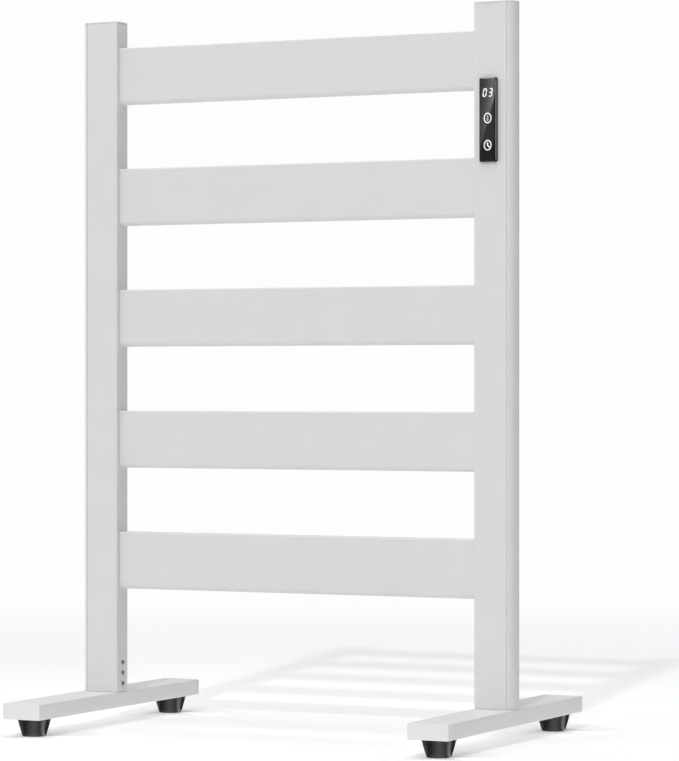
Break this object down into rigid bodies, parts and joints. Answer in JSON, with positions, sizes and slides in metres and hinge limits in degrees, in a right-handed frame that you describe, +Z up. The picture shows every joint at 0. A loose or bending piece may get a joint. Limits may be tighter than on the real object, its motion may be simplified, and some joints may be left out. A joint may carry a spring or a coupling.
{
  "type": "towel warmer rack",
  "caption": "Free-standing electric towel rack: flat heated slats between two D-section posts on T-shaped feet, with a touch control and levelling rubber feet.",
  "frame": {"origin": "on the floor, in the middle of the rack's footprint", "axes": "+X along the slats towards the control post, -Y to the front, +Z up"},
  "size_m": [0.5816, 0.392, 0.8654],
  "materials": {
    "white_coat": "satin white powder coat with a fine orange-peel texture",
    "white_plastic": "white moulded plastic, fine satin grain, matched to the coat",
    "foot_rubber": "moulded black rubber with a satin sheen",
    "zinc_steel": "bright zinc-plated steel",
    "panel_glass": "polished black-backed glass with a ground bevel",
    "panel_housing": "black moulded plastic",
    "display_white": "white lit segments and printed rings",
    "green_board": "green solder mask",
    "heating_silicone": "grey silicone jacket",
    "ceramic": "unglazed cream ceramic",
    "nylon": "natural nylon"
  },
  "bodies": {
    "frame": {"left_post": "white_coat", "right_post": "white_coat", "slat_1": "white_coat", "slat_2": "white_coat", "slat_3": "white_coat", "slat_4": "white_coat", "slat_5": "white_coat", "left_foot_bar": "white_coat", "right_foot_bar": "white_coat", "left_post_cap": "white_plastic", "right_post_cap": "white_plastic", "left_foot_front_cap": "white_plastic", "left_foot_rear_cap": "white_plastic", "right_foot_front_cap": "white_plastic", "right_foot_rear_cap": "white_plastic", "supply_gland": "white_plastic", "slat_1_left_plug": "nylon", "slat_1_right_plug": "nylon", "slat_2_left_plug": "nylon", "slat_2_right_plug": "nylon", "slat_3_left_plug": "nylon", "slat_3_right_plug": "nylon", "slat_4_left_plug": "nylon", "slat_4_right_plug": "nylon", "slat_5_left_plug": "nylon", "slat_5_right_plug": "nylon", "terminal_block": "nylon", "heating_cable_1": "heating_silicone", "heating_cable_2": "heating_silicone", "heating_cable_3": "heating_silicone", "heating_cable_4": "heating_silicone", "heating_cable_5": "heating_silicone", "wiring_loom": "heating_silicone", "left_spigot": "zinc_steel", "right_spigot": "zinc_steel", "left_post_screw_1": "zinc_steel", "left_post_screw_2": "zinc_steel", "left_post_screw_3": "zinc_steel", "right_post_screw_1": "zinc_steel", "right_post_screw_2": "zinc_steel", "right_post_screw_3": "zinc_steel", "foot_nut_front_left": "zinc_steel", "foot_nut_front_right": "zinc_steel", "foot_nut_rear_left": "zinc_steel", "foot_nut_rear_right": "zinc_steel", "heat_touch_pad": "zinc_steel", "timer_touch_pad": "zinc_steel", "control_glass": "panel_glass", "control_housing": "panel_housing", "display_module": "display_white", "control_board": "green_board", "thermal_cutout": "ceramic"},
    "foot_front_left": {"rubber_foot_front_left": "foot_rubber", "foot_stud_front_left": "zinc_steel"},
    "foot_front_right": {"rubber_foot_front_right": "foot_rubber", "foot_stud_front_right": "zinc_steel"},
    "foot_rear_left": {"rubber_foot_rear_left": "foot_rubber", "foot_stud_rear_left": "zinc_steel"},
    "foot_rear_right": {"rubber_foot_rear_right": "foot_rubber", "foot_stud_rear_right": "zinc_steel"}
  },
  "joints": [
    {"name": "level_front_left", "type": "slide", "parent": "frame", "child": "foot_front_left", "axis": [0, 0, -1], "range_m": [0, 0.005]},
    {"name": "level_front_right", "type": "slide", "parent": "frame", "child": "foot_front_right", "axis": [0, 0, -1], "range_m": [0, 0.005]},
    {"name": "level_rear_left", "type": "slide", "parent": "frame", "child": "foot_rear_left", "axis": [0, 0, -1], "range_m": [0, 0.005]},
    {"name": "level_rear_right", "type": "slide", "parent": "frame", "child": "foot_rear_right", "axis": [0, 0, -1], "range_m": [0, 0.005]}
  ]
}
